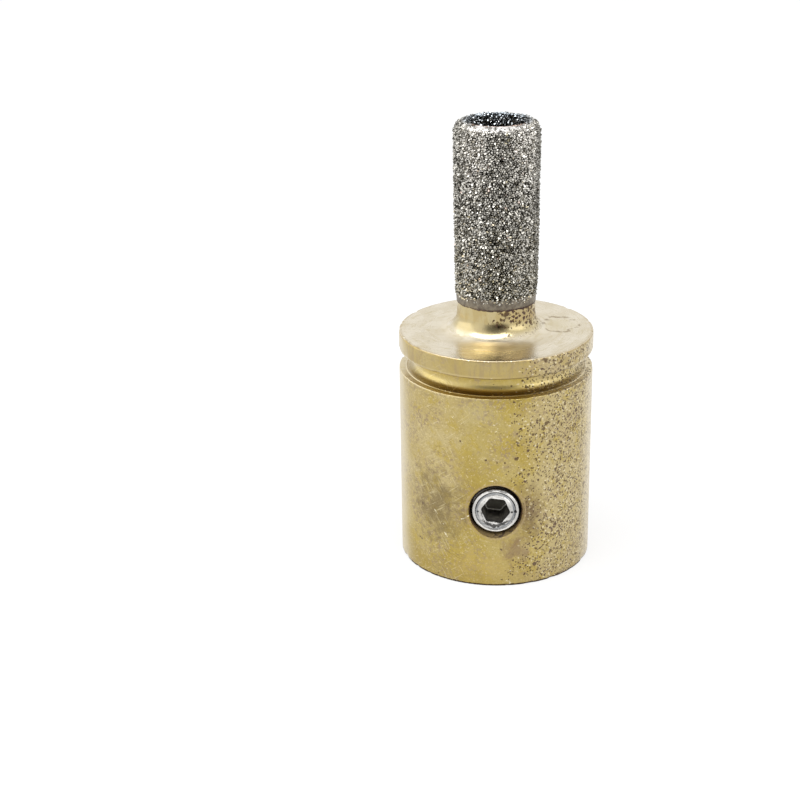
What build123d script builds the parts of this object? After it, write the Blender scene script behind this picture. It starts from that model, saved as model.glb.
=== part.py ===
from build123d import *
from math import radians, sqrt, tan
import os

# Hollow diamond-plated bit for a glass grinder, in millimetres
# The origin is the centre of the flat base, +Z runs up the tube, and the clamp screw faces -Y.

# Hub and flange, turned from 5/8 inch bar, with a 1/16 inch groove below a 1/16 inch flange
hub_diameter = 15.875
hub_height = 16.4
groove_width = 1.5875
groove_depth = 1.43
groove_corner = 0.5
flange_thickness = 1.5875
edge_break = 0.12

# Hollow tube that carries the grit, 1/4 inch across with a 1/32 inch wall
tube_diameter = 6.35
tube_wall = 0.79375
tube_length = 17.0
neck_fillet = 1.5
lip_chamfer = 0.35

# Bore for the grinder's 5/16 inch shaft
shaft_diameter = 7.9375
shaft_clearance = 0.02
shaft_bore_depth = 15.0
bore_mouth_chamfer = 0.5
drill_point_angle = 118

# Clamp screw, M4 with a hex socket and a cup point
screw_diameter = 4.0
screw_length = 3.6
screw_centre_height = 6.65
screw_recess = 0.25
screw_clearance = 0.05
screw_edge_chamfer = 0.15
screw_mouth_diameter = 4.72
screw_mouth_angle = 60
socket_flats = 2.0
socket_depth = 2.4
socket_mouth_chamfer = 0.1
socket_turn = -7
cup_diameter = 1.6
cup_angle = 118

# Electroplated nickel and the grit that it holds
grit_thickness = 0.265
grit_edge_chamfer = 0.15
grit_start_above_flange = 3.0
nickel_thickness = 0.035
nickel_skirt = 0.55
coat_thickness_in_tube = 0.08
coat_depth_in_tube = 2.5
coat_mouth_chamfer = 0.17

# Places that follow from the sizes above
hub_radius = hub_diameter / 2
groove_radius = hub_radius - groove_depth
flange_bottom = hub_height + groove_width
flange_top = flange_bottom + flange_thickness
tube_radius = tube_diameter / 2
passage_radius = tube_radius - tube_wall
tube_top = flange_top + tube_length
shaft_bore_radius = shaft_diameter / 2 + shaft_clearance
screw_radius = screw_diameter / 2
screw_hole_radius = screw_radius + screw_clearance
drill_point_height = shaft_bore_radius / tan(radians(drill_point_angle / 2))
cup_depth = cup_diameter / 2 / tan(radians(cup_angle / 2))
grit_bottom = flange_top + grit_start_above_flange
grit_radius = tube_radius + grit_thickness
coat_top = tube_top + grit_thickness
coat_bore_radius = passage_radius - coat_thickness_in_tube
coat_lip_round = grit_thickness + lip_chamfer / (2 - sqrt(2))
coat_inner_end = tube_top - coat_depth_in_tube
nickel_radius = tube_radius + nickel_thickness
skirt_bottom = grit_bottom - nickel_skirt

# The screw is driven square to the hub's side, so its plane touches the hub's front line.
screw_mouth_plane = Plane(origin=(0, -hub_radius, screw_centre_height), x_dir=(1, 0, 0), z_dir=(0, -1, 0))
screw_face_plane = screw_mouth_plane.offset(-screw_recess)
screw_tip_plane = screw_face_plane.offset(-screw_length)

# Cones stand on their base, and two places closer than this are the same place.
on_base = (Align.CENTER, Align.CENTER, Align.MIN)
same_place = 1e-4


def ring_edges(solid, radius, height):
    """The solid's circular edges of one radius at one height."""
    circles = solid.edges().filter_by(GeomType.CIRCLE)
    level = circles.filter_by(lambda edge: abs(edge.arc_center.Z - height) < same_place)
    return level.filter_by(lambda edge: abs(edge.radius - radius) < same_place)


def corner(sketch, x, y):
    """The sketch's corner nearest to a place."""
    return sketch.vertices().sort_by_distance((x, y, 0))[0]


# Brass body: hub, ring groove, flange and hollow tube in one turned piece
with BuildPart() as brass_body:
    with BuildSketch(Plane.XZ) as turned_profile:
        with BuildLine():
            Polyline(
                (0, 0),
                (hub_radius, 0),
                (hub_radius, hub_height),
                (groove_radius, hub_height),
                (groove_radius, flange_bottom),
                (hub_radius, flange_bottom),
                (hub_radius, flange_top),
                (tube_radius, flange_top),
                (tube_radius, tube_top),
                (0, tube_top),
                close=True,
            )
        make_face()
    revolve(axis=Axis.Z)

    # Round the tube's foot and the groove's corners, and break the flange's and the tube's edges
    fillet(ring_edges(brass_body, tube_radius, flange_top), radius=neck_fillet)
    groove_floor = ring_edges(brass_body, groove_radius, hub_height)
    groove_roof = ring_edges(brass_body, groove_radius, flange_bottom)
    fillet(groove_floor + groove_roof, radius=groove_corner)
    chamfer(ring_edges(brass_body, hub_radius, flange_top), length=edge_break)
    chamfer(ring_edges(brass_body, tube_radius, tube_top), length=lip_chamfer)

    # Shaft bore with its drill point, and the smaller passage that goes on up the tube
    with BuildSketch(Plane.XY):
        Circle(shaft_bore_radius)
    extrude(amount=shaft_bore_depth, mode=Mode.SUBTRACT)
    with Locations((0, 0, shaft_bore_depth)):
        Cone(shaft_bore_radius, 0, drill_point_height, align=on_base, mode=Mode.SUBTRACT)
    with Locations((0, 0, tube_top)):
        Hole(radius=passage_radius)
    chamfer(ring_edges(brass_body, shaft_bore_radius, 0), length=bore_mouth_chamfer)

    # Cross hole for the clamp screw, countersunk where it breaks the hub's side
    with Locations(screw_mouth_plane):
        CounterSinkHole(
            radius=screw_hole_radius,
            counter_sink_radius=screw_mouth_diameter / 2,
            depth=hub_radius,
            counter_sink_angle=screw_mouth_angle,
        )
brass_body.part.label = "brass_body"

# Diamond coat: one skin that starts as bare nickel, carries grit up the tube and turns over the lip
with BuildPart() as diamond_coat:
    with BuildSketch(Plane.XZ) as coat_section:
        with BuildLine():
            Polyline(
                (tube_radius, skirt_bottom),
                (nickel_radius, skirt_bottom),
                (nickel_radius, grit_bottom),
                (grit_radius, grit_bottom),
                (grit_radius, coat_top),
                (coat_bore_radius, coat_top),
                (coat_bore_radius, coat_inner_end),
                (passage_radius, coat_inner_end),
                (passage_radius, tube_top),
                (tube_radius, tube_top),
                close=True,
            )
        make_face()
        # The skin lies on the tube's chamfer and rounds it off outside
        chamfer(corner(coat_section, tube_radius, tube_top), length=lip_chamfer)
        chamfer(corner(coat_section, grit_radius, grit_bottom), length=grit_edge_chamfer)
        fillet(corner(coat_section, grit_radius, coat_top), radius=coat_lip_round)
        chamfer(corner(coat_section, coat_bore_radius, coat_top), length=coat_mouth_chamfer)
    revolve(axis=Axis.Z)
diamond_coat.part.label = "diamond_coat"

# Clamp screw: chamfered at the face, with a hex socket in front and a cup point behind
with BuildPart() as set_screw:
    with BuildSketch(screw_face_plane):
        Circle(screw_radius)
    extrude(amount=-screw_length)
    face_rim = set_screw.edges().filter_by(GeomType.CIRCLE).sort_by(Axis.Y)[0]
    chamfer(face_rim, length=screw_edge_chamfer)

    # Hex socket, one corner to each side, with a chamfer round its mouth
    with BuildSketch(screw_face_plane):
        RegularPolygon(socket_flats / 2, 6, major_radius=False, rotation=socket_turn)
    extrude(amount=-socket_depth, mode=Mode.SUBTRACT)
    with BuildSketch(screw_face_plane):
        Circle(socket_flats / 2 + socket_mouth_chamfer)
    extrude(amount=-socket_mouth_chamfer, taper=45, mode=Mode.SUBTRACT)

    # Cup point that bites on the shaft
    with Locations(screw_tip_plane):
        Cone(cup_diameter / 2, 0, cup_depth, align=on_base, mode=Mode.SUBTRACT)
set_screw.part.label = "set_screw"

os.makedirs("parts", exist_ok=True)
export_step(brass_body.part, "parts/brass_body.step")
export_step(diamond_coat.part, "parts/diamond_coat.step")
export_step(set_screw.part, "parts/set_screw.step")
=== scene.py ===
from math import cos, pi, radians, sin, tan

import bmesh
import bpy
import numpy as np
from mathutils import Matrix, Vector, geometry, noise


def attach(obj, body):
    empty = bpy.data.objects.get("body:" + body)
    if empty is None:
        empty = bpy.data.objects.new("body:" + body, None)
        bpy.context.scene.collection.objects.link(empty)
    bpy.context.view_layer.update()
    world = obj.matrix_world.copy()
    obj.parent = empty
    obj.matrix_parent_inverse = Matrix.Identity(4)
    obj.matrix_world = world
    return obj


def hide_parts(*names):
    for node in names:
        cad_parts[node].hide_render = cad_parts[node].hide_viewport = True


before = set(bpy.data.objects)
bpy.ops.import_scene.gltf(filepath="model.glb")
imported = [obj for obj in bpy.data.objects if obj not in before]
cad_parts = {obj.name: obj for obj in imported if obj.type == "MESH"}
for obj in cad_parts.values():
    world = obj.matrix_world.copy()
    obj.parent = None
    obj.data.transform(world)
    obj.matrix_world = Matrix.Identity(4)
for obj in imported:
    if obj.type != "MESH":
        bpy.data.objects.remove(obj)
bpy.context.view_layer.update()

# Lengths are written in millimetres and become metres where a mesh or a lamp is made.
MM = 0.001

# Camera of the photograph, fitted to the part: 22 degrees above the floor, a little right of the screw
CAMERA_TURN = radians(3.15)
CAMERA_ELEVATION = radians(21.93)
CAMERA_ROLL = radians(-1.0)
CAMERA_OFFSET = Vector((-8.16, 12.22, 143.61)) * MM
CAMERA_LENS = 75.02

# Sizes of the turned body
HUB_RADIUS = 7.9375
HUB_HEIGHT = 16.4
GROOVE_WIDTH = 1.5875
GROOVE_DEPTH = 1.43
GROOVE_CORNER = 0.5
GROOVE_FOOT = 0.72
FLANGE_BOTTOM = HUB_HEIGHT + GROOVE_WIDTH
FLANGE_TOP = FLANGE_BOTTOM + 1.5875
TUBE_RADIUS = 3.175
TUBE_TOP = FLANGE_TOP + 17.0
PASSAGE_RADIUS = TUBE_RADIUS - 0.79375
NECK_FILLET = 1.5
PLATED_STEP = 0.08
PLATED_STEP_IN_TUBE = 0.22
SHAFT_BORE_RADIUS = 3.98875
SHAFT_BORE_DEPTH = 15.0
DRILL_POINT_HALF_ANGLE = radians(59)
BRASS_SEGMENTS = 384
BRASS_STEP = 0.35
HIDDEN_STEP = 3.0
WEAR_REACH = 0.3

# Clamp screw and its hole. The socket's corners lie 1.11 times as far out as its flats.
SCREW_HEIGHT = 6.65
SCREW_RECESS = 0.25
SCREW_LENGTH = 3.6
SCREW_RADIUS = 2.0
SCREW_HOLE_RADIUS = 2.05
SCREW_MOUTH_RADIUS = 2.36
THREAD_PITCH = 0.7
SOCKET_FLATS = 2.0
SOCKET_DEPTH = 2.4
SOCKET_TURN = radians(-7)
SOCKET_CORNER = 1.11
SCREW_SEGMENTS = 192
THREAD_START = 0.24
THREAD_END = SCREW_LENGTH - 0.35
THREAD_ROOT_RADIUS = 1.66
HOLE_THREAD_DEPTH = 0.16
THREAD_FLANK = 5.2
THREAD_RUN_IN = 0.25

# The burr at the socket's mouth: its place from the screw's middle, how far it reaches and how high it is
BURR_PLACE = (-0.12, -1.12)
BURR_REACH = 0.45
BURR_HEIGHT = 0.10

# The screw's face from the socket's mouth outwards, as (depth, radius)
FACE_PROFILE = [
    (0.02, 1.21),
    (-0.015, 1.27),
    (-0.015, 1.36),
    (0.03, 1.43),
    (0.035, 1.57),
    (0.08, 1.60),
    (0.08, 1.63),
    (0.00, 1.66),
    (-0.02, 1.70),
    (-0.015, 1.80),
    (0.02, 1.86),
    (0.10, 1.90),
    (THREAD_START, 1.92),
]

# The socket from its end outwards, as (depth, share of the hexagon)
SOCKET_PROFILE = [
    (SOCKET_DEPTH, 0.5),
    (SOCKET_DEPTH, 0.9),
    (SOCKET_DEPTH - 0.08, 0.995),
    *((depth, 1.0) for depth in np.linspace(SOCKET_DEPTH - 0.12, 0.26, 12)),
    (0.10, 1.01),
    (0.03, 1.06),
]

# The screw's cup point, as (distance from the end, radius)
POINT_PROFILE = [
    (0.25, 1.55),
    (0.02, 1.36),
    (0.00, 1.28),
    (0.00, 0.86),
    (0.04, 0.78),
    (0.44, 0.12),
]

# Dark knocks on the screw's face, as (across, up, reach); the last two, just below the burr, are painted
# shadow under it
FACE_KNOCKS = [
    (1.60, -0.05, 0.18),
    (1.31, -0.10, 0.13),
    (-1.42, -0.05, 0.11),
    (-0.12, -1.36, 0.28),
    (0.22, -1.40, 0.14),
]

# Single larger pits in the front view, as (x, z, reach)
SINGLE_PITS = [
    (-0.80, 11.18, 0.11),
    (0.09, 10.99, 0.09),
    (0.72, 10.98, 0.10),
    (1.60, 11.26, 0.20),
    (1.72, 11.34, 0.13),
    (2.54, 11.88, 0.15),
    (3.76, 13.53, 0.17),
    (3.97, 13.96, 0.20),
    (4.12, 14.04, 0.15),
    (3.40, 9.20, 0.13),
]

# Nickel and grit
SKIRT_BOTTOM = FLANGE_TOP + 2.45
GRIT_BOTTOM = FLANGE_TOP + 3.0
NICKEL_RADIUS = TUBE_RADIUS + 0.035
SKIRT_SEGMENTS = 360
SKIRT_WAVES = [(0.10, 0.8), (0.07, 3.5), (0.05, 8.0)]
GRIT_RADIUS = TUBE_RADIUS + 0.265
COAT_TOP = TUBE_TOP + 0.265
COAT_BORE_RADIUS = PASSAGE_RADIUS - 0.08
COAT_INNER_END = TUBE_TOP - 2.5
LIP_ROUND = 0.86

# Grains: their spacing, then what each draws: its size, level, tilt and fold, and the few that sit deep
GRAIN_SEED = 11
GRAIN_PITCH = 0.195
ROW_PITCH = GRAIN_PITCH * 0.87
JITTER_ALONG_ROW = 0.40
JITTER_ACROSS_ROW = 0.36
SEAM_OVERLAP = 0.4
GRAIN_SHARE = (0.50, 0.95)
GRAIN_LEVEL = (0.025, 0.040)
GRAIN_TILT = 0.55
GRAIN_FOLD = 0.55
GRAIN_HEIGHTS = (-0.09, 0.12)
DEEP_SHARE = 0.10
DEEP_LEVEL = -0.045
NICKEL_LEVEL = (-0.16, -0.05)

# Single scratches in the front view: two ends as (x, z), and half the width
BRIGHT_SCRATCHES = [
    ((-2.83, 5.71), (-2.09, 6.19), 0.06),
    ((-0.40, 9.38), (0.02, 9.55), 0.06),
    ((0.02, 9.55), (0.12, 9.38), 0.05),
    ((-4.38, 5.20), (-4.10, 4.80), 0.05),
    ((-4.10, 4.30), (-3.85, 3.80), 0.07),
    ((-3.85, 3.80), (-4.00, 3.60), 0.05),
    ((-4.90, 6.10), (-4.75, 5.75), 0.05),
    ((-0.25, 14.2), (0.18, 14.45), 0.05),
    ((0.18, 13.95), (-0.05, 13.55), 0.045),
    ((-0.10, 15.5), (0.02, 15.1), 0.045),
    ((-3.43, 14.62), (-3.36, 14.66), 0.06),
    ((3.10, 12.2), (3.35, 12.35), 0.045),
]

# Hair scratches on the left, as (turn, colour)
HAIR_SCRATCHES = [
    (0.7, (228, 214, 172)),
    (-0.5, (128, 110, 78)),
    (-1.1, (222, 208, 166)),
    (0.2, (140, 120, 84)),
]

# Stains on the hub, each laid over the last: centre, reaches, raggedness, the size and reach of its bends,
# colour, strength, and whether it dulls the metal
STAINS = [
    ((-1.9, -7.7, 15.3), (2.6, 2.0, 1.4), 0.6, (1.2, 1.6), (202, 188, 146), 0.35, False),
    ((-1.0, -7.8, 1.7), (3.4, 2.0, 2.0), 0.6, (1.2, 1.6), (204, 180, 108), 0.60, False),
    ((-4.7, -6.4, 6.4), (3.4, 3.5, 3.5), 0.8, (1.5, 2.5), (128, 112, 80), 0.85, True),
    ((0.0, -7.9, SCREW_HEIGHT), (3.3, 2.0, 3.2), 0.5, (1.0, 0.0), (148, 124, 70), 0.45, False),
    ((2.6, -7.5, 6.3), (1.7, 2.0, 3.0), 0.6, (1.2, 1.0), (116, 96, 74), 0.80, True),
    ((1.7, -7.8, 3.0), (1.6, 1.5, 1.6), 0.9, (1.0, 1.2), (142, 118, 98), 0.70, True),
]

# Floor, the tent's dark opening, and lamps as (name, place, size, radiance)
FLOOR_HALF = 1500
FLOOR_LEVEL = -0.02
OPENING_WAY = (0.0, -0.956, 0.292)
OPENING_EDGES = (radians(42), radians(14))
LAMP_AIM = 20
LAMPS = [
    ("lamp_top", (-52, -146, 380), (560, 170), 3.4),
    ("lamp_left", (-330, 60, 190), (400, 400), 0.5),
    ("lamp_right", (290, -170, 120), (300, 150), 0.8),
]


# Helpers for meshes

def rounded(corners, steps=6):
    """Points round a closed outline of (x, y, radius) corners, with each corner rounded by its radius."""
    points = []
    for index, (x, y, radius) in enumerate(corners):
        here = Vector((x, y))
        if radius == 0:
            points.append(here)
            continue
        before = (Vector(corners[index - 1][:2]) - here).normalized()
        after = (Vector(corners[(index + 1) % len(corners)][:2]) - here).normalized()
        half = before.angle(after) / 2
        centre = here + (before + after).normalized() * (radius / sin(half))
        start = here + before * (radius / tan(half)) - centre
        sweep = start.angle_signed(here + after * (radius / tan(half)) - centre)
        for step in range(steps + 1):
            points.append(centre + Matrix.Rotation(-sweep * step / steps, 2) @ start)
    return np.array([tuple(point) for point in points])


def divided(outline, longest, hidden_radius, hidden_longest):
    """The closed outline cut into short steps outside the hidden radius, and into long steps within it."""
    points = []
    for start, end in zip(outline, np.roll(outline, -1, axis=0)):
        step_length = longest if max(start[0], end[0]) > hidden_radius else hidden_longest
        steps = max(1, round(float(np.linalg.norm(end - start)) / step_length))
        points += [start + (end - start) * step / steps for step in range(steps)]
    return np.array(points)


def turned(outline, segments):
    """Rings of points (ring, segment, xyz) that a closed outline of (radius, height) sweeps about Z."""
    angles = np.linspace(0, 2 * pi, segments, endpoint=False)
    radii, heights = outline[:, 0, None], outline[:, 1, None]
    return np.stack([radii * np.cos(angles), radii * np.sin(angles), heights + 0 * angles], axis=-1)


def ring_faces(rings, segments, closed):
    """Quads between neighbouring rings, and from the last ring back to the first if closed."""
    faces = []
    for ring in range(rings if closed else rings - 1):
        for segment in range(segments):
            following = (segment + 1) % segments
            above = (ring + 1) % rings
            faces.append((ring * segments + segment, ring * segments + following,
                          above * segments + following, above * segments + segment))
    return faces


def make_piece(name, points, faces, smooth_angle=None):
    """A mesh object from points in millimetres, with its faces turned outwards."""
    mesh = bpy.data.meshes.new(name)
    mesh.from_pydata((np.asarray(points) * MM).tolist(), [], faces)
    piece = bpy.data.objects.new(name, mesh)
    bpy.context.scene.collection.objects.link(piece)
    finish_mesh(mesh, smooth_angle)
    return piece


def finish_mesh(mesh, smooth_angle):
    """Turns all faces outwards, and shades them smooth up to an angle."""
    editable = bmesh.new()
    editable.from_mesh(mesh)
    bmesh.ops.recalc_face_normals(editable, faces=editable.faces)
    editable.to_mesh(mesh)
    editable.free()
    if smooth_angle:
        mesh.polygons.foreach_set("use_smooth", [True] * len(mesh.polygons))
        mesh.set_sharp_from_angle(angle=smooth_angle)


def cut(piece, cutter):
    """Cuts the cutter out of the piece for good."""
    modifier = piece.modifiers.new("cut", "BOOLEAN")
    modifier.operation = "DIFFERENCE"
    modifier.solver = "EXACT"
    modifier.object = cutter
    graph = bpy.context.evaluated_depsgraph_get()
    result = bpy.data.meshes.new_from_object(piece.evaluated_get(graph))
    piece.modifiers.clear()
    piece.data = result
    bpy.data.objects.remove(cutter)


# Helpers for materials

def colour(red, green, blue):
    """A colour that is written as it looks on screen, 0 to 255, as linear numbers."""
    shares = np.array([red, green, blue]) / 255
    linear = np.where(shares <= 0.04045, shares / 12.92, ((shares + 0.055) / 1.055) ** 2.4)
    return (*linear.tolist(), 1.0)


class Nodes:
    """Short calls for shader nodes. An input is a number, a colour or another node's output."""

    def __init__(self, owner):
        owner.use_nodes = True
        self.tree = owner.node_tree
        self.tree.nodes.clear()

    def add(self, kind, inputs, output=0, **settings):
        """A node with its settings and inputs, given back as one of its outputs."""
        made = self.tree.nodes.new(kind)
        for key, value in settings.items():
            setattr(made, key, value)
        for socket, value in inputs.items():
            if isinstance(value, bpy.types.NodeSocket):
                self.tree.links.new(value, made.inputs[socket])
            else:
                made.inputs[socket].default_value = value
        return made.outputs[output]

    def place(self):
        """The point on the object, in millimetres."""
        return self.scaled(self.add("ShaderNodeTexCoord", {}, output="Object"), 1 / MM)

    def axes(self, place):
        """The x, y and z of a place."""
        parts = self.tree.nodes.new("ShaderNodeSeparateXYZ")
        self.tree.links.new(place, parts.inputs[0])
        return parts.outputs

    def math(self, operation, first, second=0.0, clamp=False):
        """One sum."""
        return self.add("ShaderNodeMath", {0: first, 1: second}, operation=operation, use_clamp=clamp)

    def plus(self, first, second):
        """Two values added."""
        return self.math("ADD", first, second)

    def rest(self, share):
        """What a share leaves of 1."""
        return self.math("SUBTRACT", 1.0, share)

    def times(self, *factors):
        """The product of the factors."""
        product = factors[0]
        for factor in factors[1:]:
            product = self.math("MULTIPLY", product, factor)
        return product

    def most(self, *values):
        """The greatest of the values."""
        greatest = values[0]
        for value in values[1:]:
            greatest = self.math("MAXIMUM", greatest, value)
        return greatest

    def vector(self, operation, *operands, output=0):
        """One sum of vectors."""
        inputs = dict(enumerate(operands))
        return self.add("ShaderNodeVectorMath", inputs, output=output, operation=operation)

    def scaled(self, vector, factor):
        """A vector times a number."""
        return self.add("ShaderNodeVectorMath", {0: vector, "Scale": factor}, operation="SCALE")

    def length(self, first, second):
        """How far a point with these two coordinates is from zero."""
        return self.math("SQRT", self.plus(self.times(first, first), self.times(second, second)))

    def mix(self, share, first, second):
        """The first colour with a share of the second over it."""
        return self.add("ShaderNodeMix", {0: share, 6: first, 7: second}, output=2, data_type="RGBA")

    def tint(self, base, mask, shade, share=1.0):
        """The base with a colour over it where the mask is 1, as strong as the share."""
        return self.mix(self.times(mask, share) if share < 1 else mask, base, colour(*shade))

    def between(self, share, first, second):
        """A number between two others."""
        return self.add("ShaderNodeMix", {0: share, 2: first, 3: second}, output=0, data_type="FLOAT")

    def fade(self, value, low, high):
        """0 below low, 1 above high and smooth in between. High may be below low."""
        inputs = {"Value": value, "From Min": low, "From Max": high}
        return self.add("ShaderNodeMapRange", inputs, interpolation_type="SMOOTHSTEP")

    def span(self, value, start, low, high, end):
        """1 from low to high, fading to 0 at the start and the end."""
        return self.times(self.fade(value, start, low), self.fade(value, end, high))

    def near(self, value, level, reach):
        """1 at a level, fading to 0 at its reach to either side."""
        return self.fade(self.math("ABSOLUTE", self.math("SUBTRACT", value, level)), reach, reach * 0.4)

    def stretched(self, place, factors=(1, 1, 1), turn=(0, 0, 0)):
        """The place turned and then scaled along its three axes."""
        turned_place = self.add("ShaderNodeMapping", {"Vector": place, "Rotation": turn})
        return self.vector("MULTIPLY", turned_place, factors)

    def bent(self, place, size, reach):
        """The place pushed about by cloudy noise of a size, at most by about half the reach."""
        inputs = {"Vector": place, "Scale": 1 / size, "Detail": 1.0}
        cloud = self.add("ShaderNodeTexNoise", inputs, output="Color")
        push = self.scaled(self.vector("SUBTRACT", cloud, (0.5, 0.5, 0.5)), reach)
        return self.vector("ADD", place, push)

    def noise(self, place, size, detail=3.0, rough=0.5):
        """Cloudy noise from 0 to 1, with features of about a size in millimetres."""
        inputs = {"Vector": place, "Scale": 1 / size, "Detail": detail, "Roughness": rough}
        return self.add("ShaderNodeTexNoise", inputs)

    def clouds(self, place, size, low, high, detail=3.0, rough=0.5):
        """Patches of noise: 0 where it is below low and 1 where it is above high."""
        return self.fade(self.noise(place, size, detail, rough), low, high)

    def spots(self, place, spacing, radius, kept):
        """Ragged spots: 1 inside and 0 outside. Kept is the share of cells that have one, with its size."""
        reach = radius / spacing
        cells = self.tree.nodes.new("ShaderNodeTexVoronoi")
        self.tree.links.new(self.bent(place, radius * 1.4, radius * 2.2), cells.inputs["Vector"])
        cells.inputs["Scale"].default_value = 1 / spacing
        chance = self.add("ShaderNodeSeparateColor", {0: cells.outputs["Color"]})
        size = self.times(self.math("SUBTRACT", kept, chance), reach * 2)
        depth = self.math("SUBTRACT", self.math("MINIMUM", size, reach), cells.outputs["Distance"])
        return self.fade(depth, -0.15 * reach, 0.35 * reach)

    def blob(self, place, centre, reaches, ragged):
        """A soft patch about a centre, 1 in its middle, with an edge as ragged as asked."""
        arm = self.vector("DIVIDE", self.vector("SUBTRACT", place, centre), reaches)
        ripple = self.times(self.noise(place, 0.9, 6.0, 0.7), ragged * 3)
        distance = self.plus(self.vector("LENGTH", arm, output="Value"), ripple)
        patch = self.fade(distance, 1.1 + ragged * 1.5, 0.1 + ragged * 1.5)
        return self.times(patch, self.between(self.noise(place, 0.22, 4.0, 0.7), 0.4, 1.4))

    def stroke(self, across, upward, start, end, width):
        """A straight scratch between two points of the front view."""
        place = self.bent(self.add("ShaderNodeCombineXYZ", {0: across, 1: upward}), 0.25, 0.35)
        run = (end[0] - start[0], end[1] - start[1], 0)
        arm = self.vector("SUBTRACT", place, (*start, 0))
        along = self.vector("DOT_PRODUCT", arm, run, output="Value")
        share = self.math("DIVIDE", along, run[0] ** 2 + run[1] ** 2, clamp=True)
        gap = self.vector("DISTANCE", arm, self.scaled(run, share), output="Value")
        return self.times(self.fade(gap, width, width * 0.3), self.clouds(place, 0.25, 0.40, 0.55, 2.0))

    def bump(self, height, depth, normal=None):
        """Relief with a depth in millimetres."""
        inputs = {"Height": height, "Distance": depth * MM, "Strength": 1.0}
        if normal:
            inputs["Normal"] = normal
        return self.add("ShaderNodeBump", inputs)

    def metal(self, base, roughness, normal, dirt=None):
        """The finish itself: metal, bare or with a share of dull dirt."""
        inputs = {"Base Color": base, "Metallic": self.rest(dirt) if dirt else 1.0, "Roughness": roughness,
                  "Normal": normal}
        self.surface(self.add("ShaderNodeBsdfPrincipled", inputs))

    def surface(self, shader, kind="ShaderNodeOutputMaterial"):
        """Makes a shader the result of the material or the world."""
        output = self.tree.nodes.new(kind)
        self.tree.links.new(shader, output.inputs["Surface"])


def begin_material(name):
    """A new material and its nodes, the place on the object, and that place's x, y and z."""
    material = bpy.data.materials.new(name)
    nodes = Nodes(material)
    place = nodes.place()
    return material, nodes, place, *nodes.axes(place)


# Camera, floor and light

def make_camera():
    """The photograph's camera."""
    camera = bpy.data.objects.new("camera", bpy.data.cameras.new("camera"))
    camera.data.lens = CAMERA_LENS
    camera.data.clip_start = 0.005
    turn = Matrix.Rotation(CAMERA_TURN, 4, "Z")
    tilt = Matrix.Rotation(pi / 2 - CAMERA_ELEVATION, 4, "X")
    roll = Matrix.Rotation(CAMERA_ROLL, 4, "Z")
    camera.matrix_world = turn @ tilt @ roll @ Matrix.Translation(CAMERA_OFFSET)
    bpy.context.scene.collection.objects.link(camera)
    bpy.context.scene.camera = camera
    bpy.context.scene.view_settings.view_transform = "Standard"


def make_floor():
    """A white sheet that keeps the part's soft shadow."""
    mesh = bpy.data.meshes.new("floor")
    sides = [(-1, -1), (1, -1), (1, 1), (-1, 1)]
    corners = [(x * FLOOR_HALF * MM, y * FLOOR_HALF * MM, FLOOR_LEVEL * MM) for x, y in sides]
    mesh.from_pydata(corners, [], [(0, 1, 2, 3)])
    floor = bpy.data.objects.new("floor", mesh)
    bpy.context.scene.collection.objects.link(floor)
    material = bpy.data.materials.new("floor")
    nodes = Nodes(material)
    ray = nodes.tree.nodes.new("ShaderNodeLightPath").outputs
    seen = nodes.most(ray["Is Camera Ray"], ray["Is Glossy Ray"], ray["Is Transmission Ray"])
    paper = nodes.add("ShaderNodeBsdfDiffuse", {"Color": colour(244, 244, 244)})
    glow = nodes.add("ShaderNodeEmission", {"Color": (1, 1, 1, 1), "Strength": 1.0})
    nodes.surface(nodes.add("ShaderNodeMixShader", {0: nodes.times(seen, 0.72), 1: paper, 2: glow}))
    mesh.materials.append(material)


def make_world():
    """A white tent round the part, with a darker opening on the camera's side."""
    world = bpy.data.worlds.new("tent")
    bpy.context.scene.world = world
    nodes = Nodes(world)
    direction = nodes.add("ShaderNodeTexCoord", {}, output="Generated")
    opening = nodes.vector("DOT_PRODUCT", direction, OPENING_WAY, output="Value")
    dark = nodes.fade(opening, *(cos(angle) for angle in OPENING_EDGES))
    across = nodes.axes(direction)[0]
    sides = nodes.times(across, across, 0.30)
    level = nodes.plus(nodes.times(across, -0.06), nodes.plus(sides, 0.95))
    bright = nodes.add("ShaderNodeCombineColor", {0: level, 1: level, 2: level})
    tent = nodes.mix(dark, bright, (0.26, 0.26, 0.26, 1))
    ray = nodes.tree.nodes.new("ShaderNodeLightPath").outputs
    shown = nodes.mix(ray["Is Camera Ray"], tent, (1, 1, 1, 1))
    background = nodes.add("ShaderNodeBackground", {"Color": shown, "Strength": 1.0})
    nodes.surface(background, "ShaderNodeOutputWorld")


def make_lamp(name, place, size, radiance):
    """A soft lamp that points at the part, as bright to look at as the radiance says."""
    lamp = bpy.data.objects.new(name, bpy.data.lights.new(name, "AREA"))
    lamp.data.shape = "RECTANGLE"
    lamp.data.size, lamp.data.size_y = size[0] * MM, size[1] * MM
    lamp.data.energy = radiance * pi * size[0] * size[1] * MM ** 2
    lamp.location = Vector(place) * MM
    aim = Vector((0, 0, LAMP_AIM * MM)) - lamp.location
    lamp.rotation_euler = aim.to_track_quat("-Z", "Y").to_euler()
    bpy.context.scene.collection.objects.link(lamp)


# Brass body

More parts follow.
